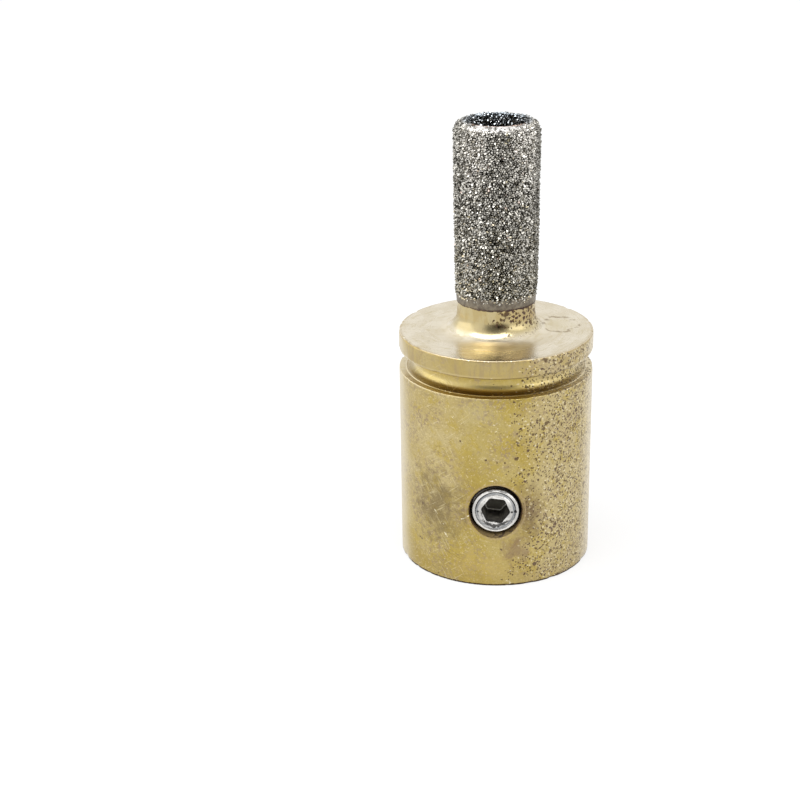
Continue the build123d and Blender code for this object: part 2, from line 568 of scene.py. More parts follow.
def brass_outline():
    """The closed outline of the turned body with its bore, as (radius, height)."""
    groove_radius = HUB_RADIUS - GROOVE_DEPTH
    drill_point = (SHAFT_BORE_RADIUS - PASSAGE_RADIUS) / tan(DRILL_POINT_HALF_ANGLE)
    corners = [
        (HUB_RADIUS, 0, 0.07),
        (HUB_RADIUS, HUB_HEIGHT, 0.07),
        (groove_radius + GROOVE_FOOT + 0.20, HUB_HEIGHT, 0.05),
        (groove_radius + GROOVE_FOOT + 0.12, HUB_HEIGHT + 0.07, 0.05),
        (groove_radius + GROOVE_FOOT, HUB_HEIGHT + 0.03, 0.04),
        (groove_radius, HUB_HEIGHT + 0.03, GROOVE_FOOT - 0.05),
        (groove_radius, FLANGE_BOTTOM, GROOVE_CORNER),
        (HUB_RADIUS, FLANGE_BOTTOM, 0.28),
        (HUB_RADIUS, FLANGE_TOP, 0.14),
        (TUBE_RADIUS, FLANGE_TOP, NECK_FILLET),
        (TUBE_RADIUS, SKIRT_BOTTOM + 0.25, 0.05),
        (TUBE_RADIUS - PLATED_STEP, SKIRT_BOTTOM + 0.35, 0.05),
        (TUBE_RADIUS - PLATED_STEP, TUBE_TOP - PLATED_STEP, 0.3),
        (PASSAGE_RADIUS + PLATED_STEP_IN_TUBE, TUBE_TOP - PLATED_STEP, 0.1),
        (PASSAGE_RADIUS + PLATED_STEP_IN_TUBE, COAT_INNER_END + 0.12, 0.03),
        (PASSAGE_RADIUS, COAT_INNER_END + 0.04, 0.03),
        (PASSAGE_RADIUS, SHAFT_BORE_DEPTH + drill_point, 0.05),
        (SHAFT_BORE_RADIUS, SHAFT_BORE_DEPTH, 0.05),
        (SHAFT_BORE_RADIUS, 0.5, 0.05),
        (SHAFT_BORE_RADIUS + 0.5, 0, 0.05),
    ]
    return divided(rounded(corners), BRASS_STEP, SHAFT_BORE_RADIUS + 0.6, HIDDEN_STEP)


def wear_edges(rings):
    """Small knocks along the outer edges: each pushes the metal a little way inwards."""
    for height, inward in ((0.0, 0.3), (HUB_HEIGHT, -0.3), (FLANGE_BOTTOM, 0.3), (FLANGE_TOP, -0.3)):
        outside = np.hypot(rings[..., 0], rings[..., 1]) > HUB_RADIUS - WEAR_REACH
        near = outside & (np.abs(rings[..., 2] - height) < WEAR_REACH)
        for index in zip(*np.nonzero(near)):
            point = Vector(rings[index])
            knock = max(0.0, noise.noise(point * 1.3) - 0.2) * 0.35
            knock += max(0.0, noise.noise(point * 4.1 + Vector((9, 4, 2))) - 0.25) * 0.16
            outward = Vector((point.x, point.y, 0)).normalized()
            rings[index] = point - outward * knock * 0.4 + Vector((0, 0, inward * knock))


def make_brass():
    """The hub, groove, flange, neck and tube with the bore, then the cross hole."""
    outline = brass_outline()
    rings = turned(outline, BRASS_SEGMENTS)
    wear_edges(rings)
    faces = ring_faces(len(outline), BRASS_SEGMENTS, closed=True)
    brass = make_piece("brass", rings.reshape(-1, 3), faces)
    cut(brass, screw_hole_cutter())
    finish_mesh(brass.data, radians(28))
    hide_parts("brass_body")
    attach(brass, "bit")
    brass.data.materials.clear()
    brass.data.materials.append(brass_material())


def screw_hole_cutter():
    """The space of the countersunk cross hole, with a thread cut in its wall."""
    slope = tan(radians(30))
    countersink = (SCREW_MOUTH_RADIUS - SCREW_HOLE_RADIUS) / slope
    profile = [(-0.6, SCREW_MOUTH_RADIUS + 0.6 * slope), (0.0, SCREW_MOUTH_RADIUS),
               (countersink, SCREW_HOLE_RADIUS)]
    end = HUB_RADIUS - SHAFT_BORE_RADIUS + 1.5
    profile += [(depth, SCREW_HOLE_RADIUS) for depth in thread_depths(countersink, end)]
    depths, radii = np.array(profile).T
    rings = screw_rings(depths, radii[:, None], -HUB_RADIUS)
    crest = SCREW_HOLE_RADIUS + HOLE_THREAD_DEPTH
    add_thread(rings, depths, (countersink, end + 1), SCREW_HOLE_RADIUS, crest)
    return capped_piece("screw_hole", rings)


def thread_depths(start, end):
    """Depths of the rings that a thread between two depths needs, eight to a turn, without the first."""
    steps = round((end - start) / (THREAD_PITCH / 8))
    return np.linspace(start, end, steps + 1)[1:]


def screw_rings(depths, radii, face):
    """Rings about the screw's axis, into the hub from the face on. Radii are by ring and segment."""
    angles = np.linspace(0, 2 * pi, SCREW_SEGMENTS, endpoint=False) + SOCKET_TURN
    across = radii * np.cos(angles)
    upward = SCREW_HEIGHT + radii * np.sin(angles)
    return np.stack([across, face + np.asarray(depths)[:, None] + 0 * across, upward], axis=-1)


def add_thread(rings, depths, ends, root, crest):
    """Gives the rings between two depths a thread that winds from the root radius to the crest."""
    start, end = ends
    centre = np.array([0, 0, SCREW_HEIGHT])
    for ring, depth in zip(rings, depths):
        if not start < depth < end:
            continue
        arm = ring - centre
        angle = np.arctan2(arm[:, 2], arm[:, 0])
        turn = (depth / THREAD_PITCH - angle / (2 * pi)) % 1
        height = np.clip(2 - np.abs(turn - 0.5) * THREAD_FLANK, 0, 1)
        fade_in = min(1.0, (depth - start) / THREAD_RUN_IN, (end - depth) / THREAD_RUN_IN)
        radius = root + (crest - root) * height * fade_in
        ring[:, 0] = radius * np.cos(angle)
        ring[:, 2] = SCREW_HEIGHT + radius * np.sin(angle)


def capped_piece(name, rings, smooth_angle=None):
    """A closed piece from rings, with a fan over each end."""
    count, segments = rings.shape[:2]
    points = np.vstack([rings.reshape(-1, 3), rings[0].mean(axis=0), rings[-1].mean(axis=0)])
    faces = ring_faces(count, segments, closed=False)
    last = (count - 1) * segments
    for segment in range(segments):
        following = (segment + 1) % segments
        faces.append((following, segment, count * segments))
        faces.append((last + segment, last + following, count * segments + 1))
    return make_piece(name, points, faces, smooth_angle)


def brass_material():
    """Turned brass: gold with dull and smoky patches, pitted to the right, and scratched to the left."""
    material, nodes, place, x, y, z = begin_material("brass")
    reach = nodes.length(x, y)
    top = nodes.span(z, FLANGE_TOP - 0.07, FLANGE_TOP - 0.02, FLANGE_TOP + 0.15, FLANGE_TOP + 0.75)
    above = nodes.fade(z, FLANGE_TOP - 0.02, FLANGE_TOP + 0.02)
    front = nodes.fade(y, 0.0, -1.0)

    base = brass_patches(nodes, place, x, z)
    pits, burrs = brass_pits(nodes, place, x, z, top)
    base = nodes.tint(base, above, (198, 183, 140), 0.80)
    # Painted light: the flange's top gets a pale colour that stands in for the bright tent it reflects.
    base = nodes.mix(top, base, flange_top_with_painted_light(nodes, place, reach))
    base, smoke = brass_smoke(nodes, place, x, z, base)
    base = brass_edges(nodes, place, x, z, reach, base)
    base = brass_scratches(nodes, place, x, z, front, above, base)
    base = nodes.tint(base, burrs, (232, 220, 186), 0.65)
    pit_colour = nodes.mix(nodes.clouds(place, 0.8, 0.4, 0.6), colour(90, 68, 38), colour(74, 48, 44))
    base = nodes.mix(nodes.times(pits, nodes.between(above, 0.88, 0.96)), base, pit_colour)
    # Painted sheen: pale colour where the brass turns away from the camera, standing in for the tent
    # reflected at grazing angles.
    facing = nodes.add("ShaderNodeLayerWeight", {"Blend": 0.5}, output="Facing")
    painted_sheen = nodes.times(nodes.fade(facing, 0.56, 0.85), nodes.math("SUBTRACT", 0.45, above, clamp=True))
    base = nodes.tint(base, painted_sheen, (238, 229, 208))
    base, grime_and_shade = hole_grime_and_shade(nodes, place, x, z, reach, front, base)

    roughness = nodes.between(above, nodes.between(nodes.noise(place, 0.5), 0.24, 0.42), 0.20)
    flat = nodes.times(above, nodes.fade(z, FLANGE_TOP + 0.24, FLANGE_TOP + 0.14))
    roughness = nodes.between(flat, roughness, nodes.between(nodes.fade(reach, 6.2, 4.8), 0.20, 0.38))
    dirt = nodes.most(grime_and_shade, pits)
    roughness = nodes.between(nodes.most(smoke, dirt), roughness, 0.55)
    normal = nodes.bump(nodes.noise(place, 0.12, 3.0, 0.6), 0.006)
    normal = nodes.bump(nodes.rest(pits), 0.03, normal)
    nodes.metal(base, roughness, normal, nodes.times(dirt, 0.6))
    return material


def brass_patches(nodes, place, x, z):
    """Gold, painted paler towards both sides where the tent shows in it, in wide clouds and fine mottles of
    yellow, pink and grey.
    """
    below_flange = nodes.fade(z, FLANGE_BOTTOM, HUB_HEIGHT)
    on_flange = nodes.fade(z, FLANGE_BOTTOM - 0.1, FLANGE_BOTTOM + 0.1)
    base = nodes.mix(nodes.clouds(place, 3.4, 0.40, 0.60), colour(178, 156, 80), colour(188, 169, 106))
    # Painted reflection: paler, in patches, towards the right and on the hub's upper left, as the white
    # tent shows there.
    right = nodes.plus(nodes.fade(x, 0.5, 5.5), nodes.times(nodes.noise(place, 1.6), 0.5))
    base = nodes.tint(base, nodes.fade(right, 0.3, 1.2), (197, 181, 140), 0.7)
    left = nodes.times(nodes.fade(x, -1.5, -4.0), nodes.fade(z, 3.0, 7.0), below_flange)
    base = nodes.tint(base, left, (212, 198, 168), 0.28)
    yellow_place = nodes.stretched(place, (1, 1, 0.7), (0.3, 0.2, 0))
    base = nodes.tint(base, nodes.clouds(yellow_place, 0.9, 0.50, 0.64, 5.0, 0.65), (186, 163, 76), 0.60)
    pink_place = nodes.stretched(place, turn=(1.2, 0.4, 0))
    pink = nodes.times(nodes.clouds(pink_place, 0.30, 0.47, 0.60, 5.0, 0.7),
                       nodes.between(nodes.clouds(pink_place, 2.6, 0.42, 0.62), 0.08, 0.90))
    base = nodes.tint(base, pink, (162, 142, 112))
    light_place = nodes.stretched(place, turn=(0.2, 1.4, 0.5))
    light = nodes.times(nodes.clouds(light_place, 0.17, 0.55, 0.66, 4.0, 0.7), below_flange)
    base = nodes.tint(base, light, (212, 195, 146))
    base = nodes.tint(base, nodes.clouds(place, 0.15, 0.54, 0.64, 2.0, 0.6), (146, 124, 74), 0.30)
    base = nodes.tint(base, on_flange, (190, 172, 136), 0.35)
    streaks = nodes.clouds(nodes.stretched(place, (2.6, 2.6, 0.35)), 1.0, 0.5, 0.66, 3.0, 0.6)
    return nodes.tint(base, nodes.times(streaks, on_flange), (168, 148, 112), 0.60)


def brass_pits(nodes, place, x, z, top):
    """Corrosion pits, and the bright burrs among them: many right, few left, none on the flange's top."""
    drift = nodes.plus(nodes.times(x, 0.10), nodes.noise(place, 2.0))
    kept = nodes.times(nodes.fade(drift, 0.42, 1.00), 1.3)
    pits = [nodes.spots(place, 0.20, 0.074, kept)]
    for spacing, radius, share, turn in ((0.34, 0.10, 0.9, 0.4), (0.85, 0.17, 0.6, 1.1)):
        layer_place = nodes.stretched(place, (0.8, 1, 1), (turn, 0.5, turn))
        pits.append(nodes.spots(layer_place, spacing, radius, nodes.times(kept, share)))
    pits.append(nodes.spots(nodes.stretched(place, turn=(0.5, 0.9, 0.2)), 1.3, 0.13, 0.45))
    for across, height, size in SINGLE_PITS:
        centre = (across, -(HUB_RADIUS ** 2 - across ** 2) ** 0.5, height)
        pit = nodes.blob(nodes.bent(place, 0.2, 0.12), centre, (size, 1.0, size), 0.1)
        pits.append(nodes.fade(pit, 0.15, 0.4))
    on_neck = nodes.times(nodes.fade(z, FLANGE_TOP + 0.5, FLANGE_TOP + 1.5), nodes.fade(x, -1.5, 0.9))
    pits.append(nodes.spots(place, 0.30, 0.14, on_neck))
    pits.append(nodes.spots(nodes.stretched(place, turn=(0.3, 0.3, 0)), 0.55, 0.24, on_neck))
    burrs = nodes.spots(nodes.stretched(place, (0.7, 0.7, 1), (0.9, 0.2, 0.6)), 0.24, 0.075, kept)
    bare = nodes.rest(top)
    return nodes.times(nodes.most(*pits), bare), nodes.times(burrs, bare)


def flange_top_with_painted_light(nodes, place, reach):
    """The flange's top, painted bright and pale where it mirrors the white tent, with faint rings, stains
    and a tide mark on the right.
    """
    cloud = nodes.clouds(place, 1.6, 0.4, 0.65, 5.0, 0.6)
    # Pale cream painted in for the bright tent reflected in the top face.
    base = nodes.mix(cloud, colour(234, 224, 202), colour(224, 212, 185))
    ring_place = nodes.add("ShaderNodeCombineXYZ", {0: nodes.times(reach, 4.0)})
    ring_place = nodes.vector("ADD", ring_place, place)
    base = nodes.tint(base, nodes.clouds(ring_place, 1.0, 0.50, 0.66, 4.0, 0.6), (208, 192, 150), 0.45)
    stain = nodes.blob(nodes.bent(place, 1.1, 2.2), (5.1, 0.8, FLANGE_TOP), (1.8, 2.5, 9), 0.2)
    base = nodes.tint(base, stain, (210, 194, 146), 0.45)
    tide = nodes.times(nodes.span(stain, 0.08, 0.2, 0.24, 0.42), nodes.clouds(place, 0.8, 0.42, 0.56))
    base = nodes.tint(base, tide, (150, 128, 88), 0.8)
    return nodes.tint(base, nodes.clouds(place, 0.16, 0.60, 0.72, 4.0, 0.7), (182, 165, 128), 0.35)


def brass_smoke(nodes, place, x, z, base):
    """Stains on the hub, low on its foot and on the neck. Gives the colour and where it is dull."""
    dull = []
    for centre, reaches, ragged, bends, shade, share, dulls in STAINS:
        stain = nodes.blob(nodes.bent(place, *bends), centre, reaches, ragged)
        base = nodes.tint(base, stain, shade, share)
        if dulls:
            dull.append(stain)
    on_neck = nodes.fade(z, FLANGE_TOP + 0.9, FLANGE_TOP + 1.6)
    base = nodes.tint(base, nodes.times(on_neck, nodes.fade(x, -0.6, 2.0)), (150, 118, 70), 0.22)
    streaks = nodes.clouds(nodes.stretched(place, (2.2, 2.2, 0.9)), 1.0, 0.44, 0.60, 3.0, 0.6)
    base = nodes.tint(base, nodes.times(streaks, on_neck), (180, 158, 104), 0.5)
    low = nodes.times(nodes.fade(z, 3.2, 0.8), nodes.noise(place, 1.3))
    base = nodes.tint(base, low, (146, 124, 82), 0.35)
    neck = nodes.blob(place, (0.26, -3.2, FLANGE_TOP + 1.17), (1.0, 1.0, 0.40), 0.12)
    base = nodes.tint(base, neck, (46, 34, 22))
    return base, nodes.times(nodes.most(neck, *dull), 0.7)


def brass_edges(nodes, place, x, z, reach, base):
    """Edges: bright chips and painted highlights on the rims, painted shadow at the base, painted shade and
    light in the groove.
    """
    outside = nodes.fade(reach, HUB_RADIUS - 0.30, HUB_RADIUS - 0.15)
    top_rim = nodes.near(z, FLANGE_TOP - 0.04, 0.10)
    low_rims = nodes.most(nodes.near(z, FLANGE_BOTTOM + 0.12, 0.20),
                          nodes.near(z, HUB_HEIGHT - 0.04, 0.12))
    base = nodes.tint(base, nodes.times(top_rim, outside), (168, 140, 86), 0.30)
    # Painted highlight along the flange's lower rim and the hub's top rim, on the left.
    bright = nodes.times(low_rims, outside, nodes.fade(x, 2.5, -2.0))
    base = nodes.tint(base, bright, (220, 203, 158), 0.35)
    chips = nodes.most(nodes.spots(place, 0.5, 0.15, 0.5), nodes.spots(place, 0.22, 0.08, 0.5))
    chips = nodes.times(chips, nodes.between(top_rim, 0.35, 1.0), nodes.most(top_rim, low_rims), outside)
    base = nodes.tint(base, chips, (252, 244, 222))
    # Painted shadow: a dark, broken line where the hub meets the floor.
    foot = nodes.plus(nodes.fade(z, 0.30, 0.05), nodes.times(nodes.noise(place, 0.35, 4.0), 0.9))
    base = nodes.tint(base, nodes.fade(foot, 0.95, 1.15), (60, 46, 34))
    # Painted light: brighter gold over the ledge and the lower groove, which lie in the flange's shade.
    groove = nodes.times(nodes.fade(z, FLANGE_BOTTOM - 0.4, HUB_HEIGHT + 0.5),
                         nodes.fade(z, HUB_HEIGHT - 0.05, HUB_HEIGHT + 0.02),
                         nodes.fade(reach, HUB_RADIUS - 0.05, HUB_RADIUS - 0.3))
    base = nodes.tint(base, groove, (216, 196, 132), 0.5)
    sideways = nodes.math("ABSOLUTE", x)
    # Painted shade: dark brown in the groove's lower corner, strongest in front, under the flange's shaded
    # underside.
    corner = nodes.times(nodes.fade(z, HUB_HEIGHT + 0.30, HUB_HEIGHT + 0.12),
                         nodes.fade(z, HUB_HEIGHT - 0.06, HUB_HEIGHT), nodes.fade(reach, 7.55, 7.35),
                         nodes.between(nodes.fade(sideways, 3.0, 6.5), 1.0, 0.4))
    base = nodes.tint(base, corner, (92, 66, 34), 0.75)
    # Painted light: the ledge pale towards the sides, where it sees the bright tent.
    ledge = nodes.times(nodes.near(z, HUB_HEIGHT + 0.02, 0.12), nodes.fade(reach, 7.0, 7.3),
                        nodes.fade(sideways, 4.5, 6.8))
    return nodes.tint(base, ledge, (226, 212, 178), 0.7)


def brass_scratches(nodes, place, x, z, front, above, base):
    """Hair scratches both ways on the left, and single bright scratches."""
    left = nodes.fade(nodes.plus(x, nodes.times(nodes.noise(place, 2.0), 3.0)), 1.0, -3.0)
    left = nodes.times(nodes.most(left, 0.12), nodes.rest(above),
                       nodes.between(nodes.fade(x, -7.6, -5.0), 0.3, 1.0),
                       nodes.between(nodes.fade(z, FLANGE_BOTTOM, HUB_HEIGHT), 0.4, 1.0))
    for turn, shade in HAIR_SCRATCHES:
        hairs = nodes.spots(nodes.stretched(place, (0.9, 1.6, 20.0), (0, turn, 0)), 2.2, 0.6, 0.8)
        base = nodes.tint(base, nodes.times(hairs, left), shade, 0.5)
    for start, end, width in BRIGHT_SCRATCHES:
        line = nodes.stroke(x, z, start, end, width)
        base = nodes.tint(base, nodes.times(line, front), (246, 238, 208))
    return base


def hole_grime_and_shade(nodes, place, x, z, reach, front, base):
    """Grime and painted shade in the countersink and the screw's hole, with painted light low down and
    along the rim. Gives the colour and where it is.
    """
    up = nodes.math("SUBTRACT", z, SCREW_HEIGHT)
    away = nodes.length(x, up)
    inside = nodes.times(nodes.fade(away, SCREW_MOUTH_RADIUS + 0.04, SCREW_MOUTH_RADIUS),
                         nodes.fade(reach, HUB_RADIUS - 0.015, HUB_RADIUS - 0.06), front)
    # Painted shade: the hole darkens from its mouth inwards, under the grime's own brown.
    mouth = nodes.fade(reach, HUB_RADIUS - 0.24, HUB_RADIUS - 0.06)
    dirt = nodes.mix(mouth, colour(38, 26, 16), colour(128, 92, 58))
    # Painted light: lighter on the countersink's lower wall, which faces up.
    low = nodes.plus(nodes.fade(up, -1.0, -2.2), nodes.times(nodes.noise(place, 0.4), 0.3))
    dirt = nodes.tint(dirt, low, (108, 90, 54))
    dirt = nodes.tint(dirt, nodes.clouds(place, 0.30, 0.50, 0.62), (62, 46, 28))
    # Painted highlight: a pale line along the countersink's rim in front.
    rim = nodes.times(nodes.near(away, SCREW_MOUTH_RADIUS + 0.05, 0.10), front)
    base = nodes.tint(base, rim, (182, 160, 122), 0.5)
    return nodes.mix(inside, base, dirt), inside


# Nickel skirt

def make_skirt():
    """The bare nickel below the grit: a thin band with an uneven lower edge."""
    section = np.array([
        (TUBE_RADIUS - 0.04, SKIRT_BOTTOM - 0.02),
        (TUBE_RADIUS + 0.012, SKIRT_BOTTOM),
        (NICKEL_RADIUS, SKIRT_BOTTOM + 0.05),
        (NICKEL_RADIUS + 0.01, SKIRT_BOTTOM + 0.25),
        (NICKEL_RADIUS + 0.02, GRIT_BOTTOM),
        (NICKEL_RADIUS + 0.02, GRIT_BOTTOM + 0.35),
        (TUBE_RADIUS - 0.04, GRIT_BOTTOM + 0.35),
    ])
    rings = turned(section, SKIRT_SEGMENTS)
    for segment in range(SKIRT_SEGMENTS):
        point = Vector(rings[0, segment])
        rings[:4, segment, 2] += sum(height * noise.noise(point * rate) for height, rate in SKIRT_WAVES)
    faces = ring_faces(len(section), SKIRT_SEGMENTS, closed=True)
    skirt = make_piece("nickel_skirt", rings.reshape(-1, 3), faces, radians(50))
    skirt.data.materials.append(nickel_material())
    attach(skirt, "bit")


def nickel_material():
    """Satin electroplated nickel, darker along its ragged lower edge."""
    material, nodes, place, x, _, z = begin_material("nickel")
    cloud = nodes.noise(place, 0.35, 4.0)
    base = nodes.mix(nodes.fade(cloud, 0.35, 0.65), colour(112, 104, 94), colour(142, 134, 120))
    ragged = nodes.plus(z, nodes.times(nodes.noise(place, 0.22), -0.35))
    edge = nodes.times(nodes.fade(ragged, SKIRT_BOTTOM - 0.02, SKIRT_BOTTOM - 0.10),
                       nodes.between(nodes.fade(x, -2.0, 1.5), 0.55, 0.95))
    base = nodes.tint(base, edge, (76, 60, 66))
    normal = nodes.bump(nodes.noise(place, 0.06, 2.0), 0.006)
    nodes.metal(base, nodes.between(cloud, 0.38, 0.5), normal)
    return material


# Grit

def grit_path():
    """The coat's section as (radius, height) points, from its foot up, round the lip and into the bore."""
    turn = np.linspace(0, pi / 2, 9)
    centre = np.array([GRIT_RADIUS - LIP_ROUND - 0.05, COAT_TOP - LIP_ROUND - 0.08])
    lip = centre + LIP_ROUND * np.stack([np.cos(turn), np.sin(turn)], axis=-1)
    foot = [(TUBE_RADIUS - 0.10, GRIT_BOTTOM - 0.06), (NICKEL_RADIUS + 0.02, GRIT_BOTTOM + 0.02),
            (GRIT_RADIUS - 0.19, GRIT_BOTTOM + 0.3), (GRIT_RADIUS - 0.16, GRIT_BOTTOM + 1.2),
            (GRIT_RADIUS - 0.10, GRIT_BOTTOM + 6.0)]
    mouth = [(COAT_BORE_RADIUS + 0.22, COAT_TOP - 0.09), (COAT_BORE_RADIUS + 0.13, COAT_TOP - 0.17),
             (COAT_BORE_RADIUS + 0.09, COAT_TOP - 0.34), (COAT_BORE_RADIUS + 0.06, COAT_INNER_END + 0.15),
             (PASSAGE_RADIUS + PLATED_STEP_IN_TUBE + 0.05, COAT_INNER_END)]
    corners = np.vstack([foot, lip, mouth])
    points = []
    for start, end in zip(corners[:-1], corners[1:]):
        steps = max(1, int(np.linalg.norm(end - start) / 0.03))
        points += [start + (end - start) * step / steps for step in range(steps)]
    return np.array(points + [corners[-1]])


class Skin:
    """Turns (angle, way, height) into points on the coat. Equal steps of angle and way are equally long."""

    def __init__(self, path):
        steps = np.diff(path, axis=0)
        lengths = np.linalg.norm(steps, axis=1)
        mid_radii = (path[1:, 0] + path[:-1, 0]) / 2
        self.path = path
        self.length = np.concatenate([[0], np.cumsum(lengths)])
        self.way = np.concatenate([[0], np.cumsum(lengths / mid_radii)])
        slope = np.gradient(path, axis=0)
        self.outward = np.stack([slope[:, 1], -slope[:, 0]], axis=-1)
        self.outward /= np.linalg.norm(self.outward, axis=1)[:, None]

    def along(self, way, values):
        """Values of the path at a way."""
        return np.interp(way, self.way, values)

    def points(self, angle, way, height):
        """Points of the skin, raised by a height."""
        radius = self.along(way, self.path[:, 0]) + height * self.along(way, self.outward[:, 0])
        level = self.along(way, self.path[:, 1]) + height * self.along(way, self.outward[:, 1])
        return np.stack([radius * np.cos(angle), radius * np.sin(angle), level], axis=-1)


def grain_centres(skin, chance):
    """Uneven grain centres (angle, way) in rows round the skin, and which ones are spare, past its ends."""
    rows = int(skin.length[-1] / ROW_PITCH)
    centres, spare = [], []
    for row in range(-1, rows + 2):
        length = (row + 0.5) * skin.length[-1] / rows
        radius = np.interp(length, skin.length, skin.path[:, 0])
        count = round(2 * pi * radius / GRAIN_PITCH)
        jitter = chance.uniform(-JITTER_ALONG_ROW, JITTER_ALONG_ROW, count)
        angles = (np.arange(count) + 0.5 * (row % 2) + jitter) * 2 * pi / count
        lengths = length + chance.uniform(-JITTER_ACROSS_ROW, JITTER_ACROSS_ROW, count) * GRAIN_PITCH
        ways = np.interp(lengths, skin.length, skin.way)
        ways += np.minimum(lengths, 0) / radius + np.maximum(lengths - skin.length[-1], 0) / radius
        centres.append(np.stack([angles % (2 * pi), ways], axis=-1))
        spare += [row < 0 or row > rows] * count
    return np.vstack(centres), np.array(spare)


def grain_cells(centres):
    """For each centre, the corners of the cell that is nearest to it, in order, and the corners' places."""
    left = centres[:, 0] < SEAM_OVERLAP
    right = centres[:, 0] > 2 * pi - SEAM_OVERLAP
    padded = np.vstack([centres, centres[left] + (2 * pi, 0), centres[right] - (2 * pi, 0)])
    owner = np.concatenate([np.arange(len(centres)), np.nonzero(left)[0], np.nonzero(right)[0]])
    flat = [Vector(point) for point in padded.tolist()]
    _, _, triangles, sources, _, _ = geometry.delaunay_2d_cdt(flat, [], [], 0, 1e-9)
    source = np.array([ids[0] for ids in sources])
    triangles = source[np.array(triangles)]
    a, b, c = padded[triangles[:, 0]], padded[triangles[:, 1]], padded[triangles[:, 2]]
    ab, ac = b - a, c - a
    cross = 2 * (ab[:, 0] * ac[:, 1] - ab[:, 1] * ac[:, 0])
    ab2, ac2 = (ab ** 2).sum(axis=1), (ac ** 2).sum(axis=1)
    middles = np.stack([ac[:, 1] * ab2 - ab[:, 1] * ac2, ab[:, 0] * ac2 - ac[:, 0] * ab2], axis=-1)
    middles = a + middles / cross[:, None]
    known, corner_places = {}, []
    cells = [[] for _ in centres]
    for triangle, middle in zip(triangles, middles):
        key = tuple(sorted(owner[triangle]))
        if key not in known:
            known[key] = len(corner_places)
            corner_places.append(middle)
        for point in triangle:
            if point < len(centres):
                arm = middle - centres[point]
                cells[point].append((np.arctan2(arm[1], arm[0]), known[key], middle))
    return [sorted(cell, key=lambda item: item[0]) for cell in cells], np.array(corner_places)


def relief(skin, angle, way):
    """How far the grains stand out, from 0 to 1: little on the lip's crest in front, which is worn."""
    level = skin.along(way, skin.path[:, 1])
    in_front = np.interp(-np.sin(angle), [0.62, 0.93], [0.0, 1.0])
    crest = np.interp(level, [COAT_TOP - 0.75, COAT_TOP - 0.2], [0.0, 1.0])
    return 1 - crest * (0.25 + 0.60 * in_front)


def grain_top(centre, ring, skin, chance):
    """The crown of a grain in its cell's ring of corners, folded like a roof: its corners and heights."""
    share = chance.uniform(*GRAIN_SHARE)
    level = chance.normal(*GRAIN_LEVEL)
    tilt = chance.normal(0, GRAIN_TILT, 2)
    if chance.random() < DEEP_SHARE:
        level, tilt, share = DEEP_LEVEL, tilt * 0.4, 0.8
    arms = (ring - centre) * share * chance.uniform(0.75, 1.05, (len(ring), 1))
    half = len(ring) // 2
    radius = skin.along(centre[1], skin.path[:, 0])
    across = np.array([arms[half][1] - arms[0][1], arms[0][0] - arms[half][0]])
    fold = np.abs((arms - arms[0]) @ across) / np.linalg.norm(across) * radius
    heights = level + (arms * radius) @ tilt - fold * abs(chance.normal(0, GRAIN_FOLD))
    return centre + arms, np.clip(heights, *GRAIN_HEIGHTS) * relief(skin, centre[0], centre[1])


def make_grit():
    """Thousands of grains, each with its own tilted and folded crown, in nickel that fills between them."""
    chance = np.random.default_rng(GRAIN_SEED)
    skin = Skin(grit_path())
    centres, spare = grain_centres(skin, chance)
    cells, corners = grain_cells(centres)
    lift = chance.uniform(*NICKEL_LEVEL, len(corners)) * relief(skin, corners[:, 0], corners[:, 1])
    points = [skin.points(corners[:, 0], corners[:, 1], lift)]
    total = len(corners)
    faces, crown, grain = [], [], []
    for centre, cell, is_spare in zip(centres, cells, spare):
        count = len(cell)
        if is_spare or count < 4:
            continue
        tops, heights = grain_top(centre, np.array([item[2] for item in cell]), skin, chance)
        points.append(skin.points(tops[:, 0], tops[:, 1], heights))
        top_ids = list(range(total, total + count))
        total += count
        faces += [top_ids[:count // 2 + 1], top_ids[count // 2:] + top_ids[:1]]
        for step in range(count):
            following = (step + 1) % count
            faces.append([cell[step][1], cell[following][1], top_ids[following], top_ids[step]])
        crown += [1.0] * 2 + [0.0] * count
        grain += [chance.random()] * (2 + count)
    grit = make_piece("grit", np.vstack(points), faces)
    for name, values in (("crown", crown), ("grain", grain)):
        grit.data.attributes.new(name, "FLOAT", "FACE").data.foreach_set("value", values)
    grit.data.materials.append(grit_material())
    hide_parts("diamond_coat")
    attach(grit, "bit")


def grit_material():
    """Grains of diamond in nickel: each catches the light in its own way."""
    material, nodes, place, x, y, z = begin_material("grit")
    grain = nodes.add("ShaderNodeAttribute", {}, output="Fac", attribute_name="grain")
    crown = nodes.add("ShaderNodeAttribute", {}, output="Fac", attribute_name="crown")
    base = nodes.mix(grain, colour(116, 113, 105), colour(232, 229, 220))
    base = nodes.tint(base, nodes.fade(grain, 0.987, 0.990), (222, 213, 180))
    base = nodes.tint(base, nodes.fade(grain, 0.010, 0.006), (228, 206, 194))
    # Painted shade: the grains' sloping sides darkened in patches, as the gaps between grains lie in shade.
    patchy = nodes.between(nodes.clouds(place, 0.24, 0.38, 0.58, 2.0), 0.25, 0.95)
    sides = nodes.times(nodes.rest(crown), patchy)
    base = nodes.tint(base, sides, (66, 64, 58))
    base = nodes.tint(base, nodes.fade(z, COAT_TOP - 5.0, GRIT_BOTTOM), (122, 116, 92), 0.35)
    base = grit_painted_light(nodes, x, z, crown, base)
    base = lip_colour(nodes, place, (x, y, z), (grain, crown, sides), base)
    roughness = nodes.between(nodes.noise(place, 0.25), 0.10, 0.45)
    nodes.metal(base, roughness, nodes.bump(nodes.noise(place, 0.05, 2.0), 0.006))
    return material


